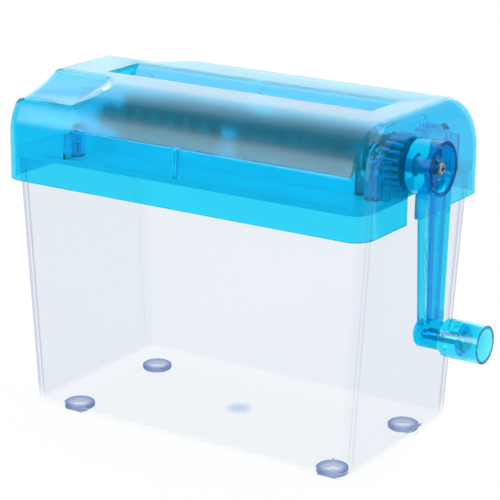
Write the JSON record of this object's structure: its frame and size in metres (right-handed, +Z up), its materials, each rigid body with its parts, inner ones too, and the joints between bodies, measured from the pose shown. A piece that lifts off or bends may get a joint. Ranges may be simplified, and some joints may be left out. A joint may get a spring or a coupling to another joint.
{
  "type": "hand-crank paper shredder",
  "caption": "Small hand-crank paper shredder: translucent blue cutter head with a long feed slot, side crank with a turning grip, and a clear bin on round feet that the head lifts off.",
  "frame": {"origin": "middle of the overall bounding box at the level of the feet's undersides", "axes": "+X towards the crank, along the head's length; +Y to the rear; +Z up"},
  "size_m": [0.2026, 0.0948, 0.1424],
  "materials": {
    "cover": "translucent blue, satin on the rounded top and polished on the walls",
    "tray": "translucent blue, polished",
    "crank": "translucent bright blue, polished",
    "gear": "dark blue moulded",
    "cutter": "black moulded",
    "frame": "translucent blue moulded",
    "bush": "white moulded",
    "steel": "plain bright steel",
    "bin": "clear, polished",
    "foot": "clear soft plastic"
  },
  "bodies": {
    "bin": {"waste_bin": "bin", "bin_feet": "foot"},
    "head": {"top_cover": "cover", "cutter_tray": "tray", "left_bearing_plate": "frame", "right_bearing_plate": "frame", "centre_support": "frame", "shaft_bushes": "bush", "front_stripper_comb": "frame", "rear_stripper_comb": "frame", "tray_screws": "steel", "plate_screws": "steel"},
    "crank_roller": {"drive_shaft": "steel", "drive_shaft_clip": "steel", "front_left_cutters": "cutter", "front_right_cutters": "cutter", "drive_gear": "gear", "crank_arm": "crank", "crank_screw": "steel", "grip_pin": "steel"},
    "rear_roller": {"idler_shaft": "steel", "idler_shaft_clip": "steel", "rear_left_cutters": "cutter", "rear_right_cutters": "cutter", "idler_gear": "frame"},
    "grip": {"crank_grip": "crank"}
  },
  "joints": [
    {"name": "head_lift", "type": "slide", "parent": "bin", "child": "head", "axis": [0, 0, 1], "range_m": [0, 0.04]},
    {"name": "crank_turn", "type": "hinge", "parent": "head", "child": "crank_roller", "pos_m": [0, -0.01, 0.124], "axis": [1, 0, 0], "continuous": true},
    {"name": "rear_roller_turn", "type": "hinge", "parent": "head", "child": "rear_roller", "pos_m": [0, 0.01, 0.124], "axis": [1, 0, 0], "continuous": true},
    {"name": "grip_spin", "type": "hinge", "parent": "crank_roller", "child": "grip", "pos_m": [0.08875, -0.01, 0.0584], "axis": [1, 0, 0], "continuous": true}
  ],
  "couplings": [
    {"joint": "rear_roller_turn", "follows": "crank_turn", "ratio": -1}
  ]
}
